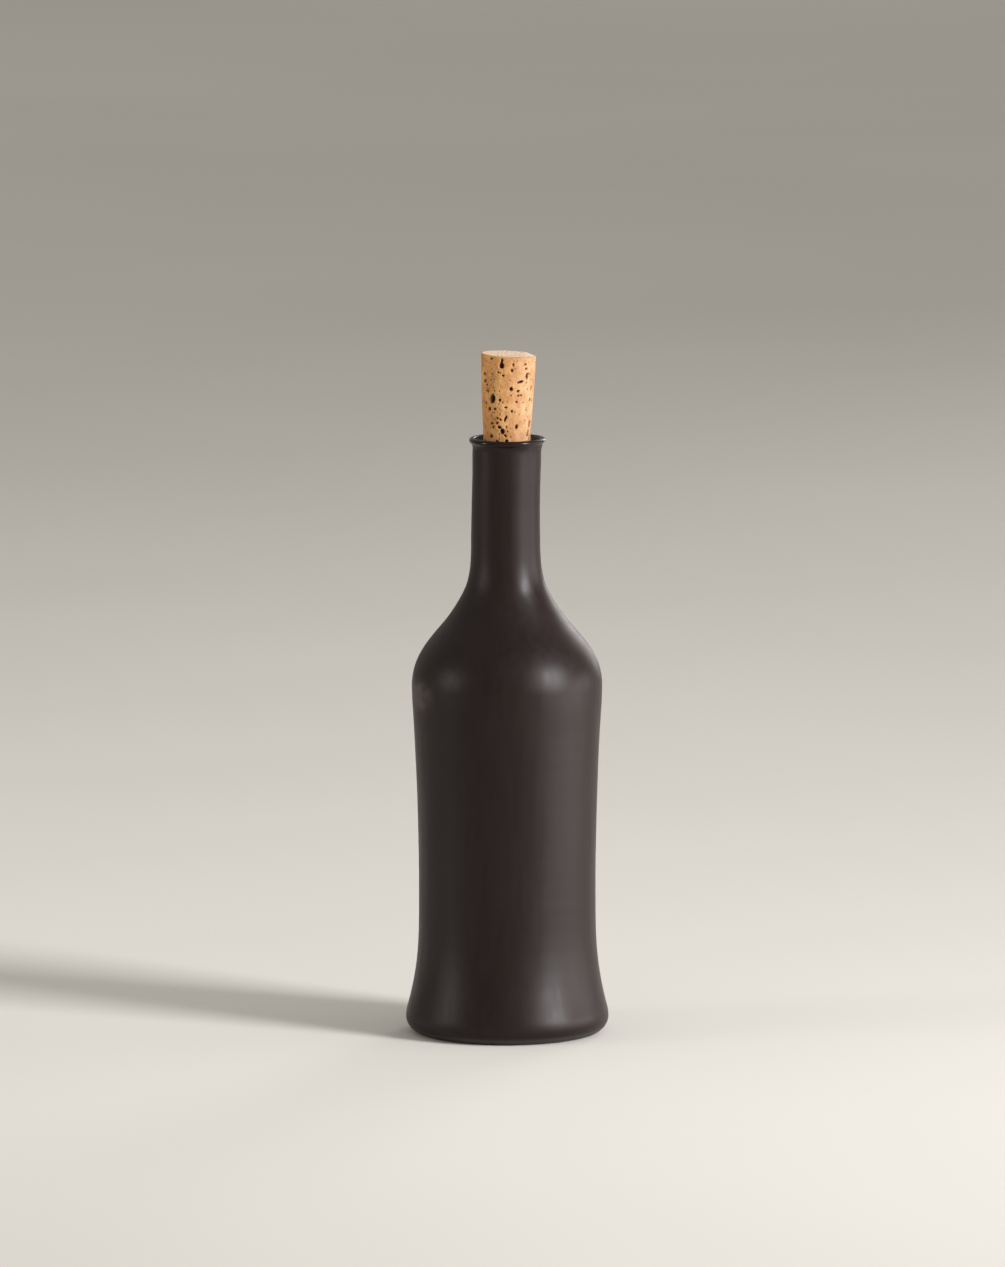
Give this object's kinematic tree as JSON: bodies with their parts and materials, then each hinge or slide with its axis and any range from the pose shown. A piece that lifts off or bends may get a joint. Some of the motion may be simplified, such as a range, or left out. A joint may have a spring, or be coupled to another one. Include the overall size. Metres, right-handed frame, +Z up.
{
  "type": "black clay bottle with cork stopper",
  "caption": "Slim black clay bottle with a waisted body, round shoulder, long straight neck and small flared lip, closed by a tapered natural cork that pulls out.",
  "frame": {"origin": "centre of the foot, on the surface the bottle stands on", "axes": "+Z up along the bottle's axis, towards the cork; the object is round, so X and Y are free"},
  "size_m": [0.081, 0.081, 0.273],
  "materials": {
    "black_clay": "satin",
    "cork": "matte"
  },
  "bodies": {
    "bottle": {"bottle": "black_clay"},
    "cork": {"cork_stopper": "cork"}
  },
  "joints": [
    {"name": "cork_pull", "type": "slide", "parent": "bottle", "child": "cork", "axis": [0, 0, 1], "range_m": [0, 0.06]}
  ]
}
